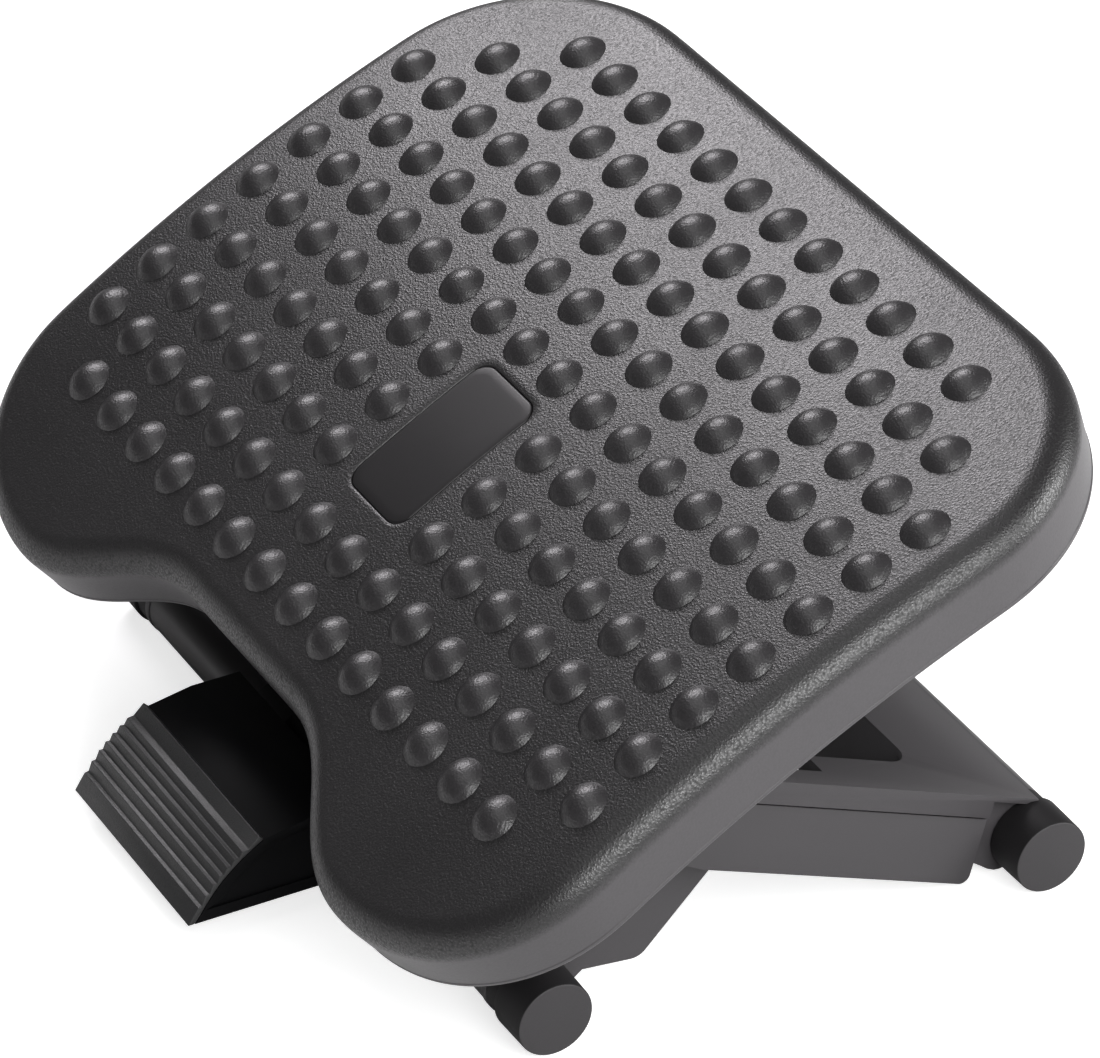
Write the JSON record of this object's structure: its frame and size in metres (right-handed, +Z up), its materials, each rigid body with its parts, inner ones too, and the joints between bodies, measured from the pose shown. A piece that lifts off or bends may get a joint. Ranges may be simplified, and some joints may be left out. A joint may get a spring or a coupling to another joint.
{
  "type": "tilting under desk footrest",
  "caption": "Under desk footrest with a curved, bumpy massage deck that tilts on two crossed leg frames and is held by a foot pedal lock.",
  "frame": {"origin": "on the floor, under the middle of the whole part", "axes": "+X along the width of the deck, towards the right foot of a seated person; +Y from the heel edge to the raised toe edge; +Z up"},
  "size_m": [0.46, 0.3312, 0.2383],
  "materials": {
    "deck_plastic": "charcoal moulded plastic with a fine pebble grain",
    "plate_plastic": "smooth charcoal plate, satin",
    "leg_plastic": "dark grey moulded plastic, matt",
    "black_plastic": "black moulded plastic",
    "rubber": "dark grey rubber",
    "zinc_steel": "zinc-plated steel"
  },
  "bodies": {
    "outer_leg": {"outer_leg_frame": "leg_plastic", "toe_foot_bar": "leg_plastic", "toe_foot_cap_left": "rubber", "toe_foot_cap_right": "rubber", "hinge_rod": "zinc_steel", "hinge_rod_cap_left": "black_plastic", "hinge_rod_cap_right": "black_plastic", "cross_axle": "zinc_steel", "cross_axle_cap_left": "black_plastic", "cross_axle_cap_right": "black_plastic", "axle_spacer_left": "black_plastic", "axle_spacer_right": "black_plastic", "lock_drum": "black_plastic"},
    "inner_leg": {"inner_leg_frame": "leg_plastic", "heel_foot_bar": "leg_plastic", "heel_foot_cap_left": "rubber", "heel_foot_cap_right": "rubber", "axle_bush_left": "black_plastic", "axle_bush_right": "black_plastic", "glide_bar": "zinc_steel", "glide_sleeve_left": "black_plastic", "glide_sleeve_right": "black_plastic"},
    "platform": {"deck_shell": "deck_plastic", "centre_plate": "plate_plastic", "deck_rail_left": "zinc_steel", "deck_rail_right": "zinc_steel", "rail_screw_1_left": "zinc_steel", "rail_screw_1_right": "zinc_steel", "rail_screw_2_left": "zinc_steel", "rail_screw_2_right": "zinc_steel"},
    "pedal": {"pedal": "black_plastic", "pedal_tread": "rubber", "brake_shoe": "rubber", "return_spring_left": "zinc_steel", "return_spring_right": "zinc_steel"}
  },
  "joints": [
    {"name": "leg_fold", "type": "hinge", "parent": "outer_leg", "child": "inner_leg", "pos_m": [0, -0.01022, 0.08028], "axis": [1, 0, 0], "range_deg": [-12, 2]},
    {"name": "platform_hinge", "type": "hinge", "parent": "outer_leg", "child": "platform", "pos_m": [0, -0.07236, 0.10522], "axis": [1, 0, 0], "range_deg": [-9.3, 1.55]},
    {"name": "pedal_press", "type": "hinge", "parent": "inner_leg", "child": "pedal", "pos_m": [0, -0.0725, 0.0162], "axis": [1, 0, 0], "range_deg": [0, 3.5], "stiffness_Nm_per_rad": 2, "springref_deg": -5.73, "deforming": ["return_spring_left", "return_spring_right"]}
  ],
  "couplings": [
    {"joint": "platform_hinge", "follows": "leg_fold", "ratio": 0.775}
  ]
}
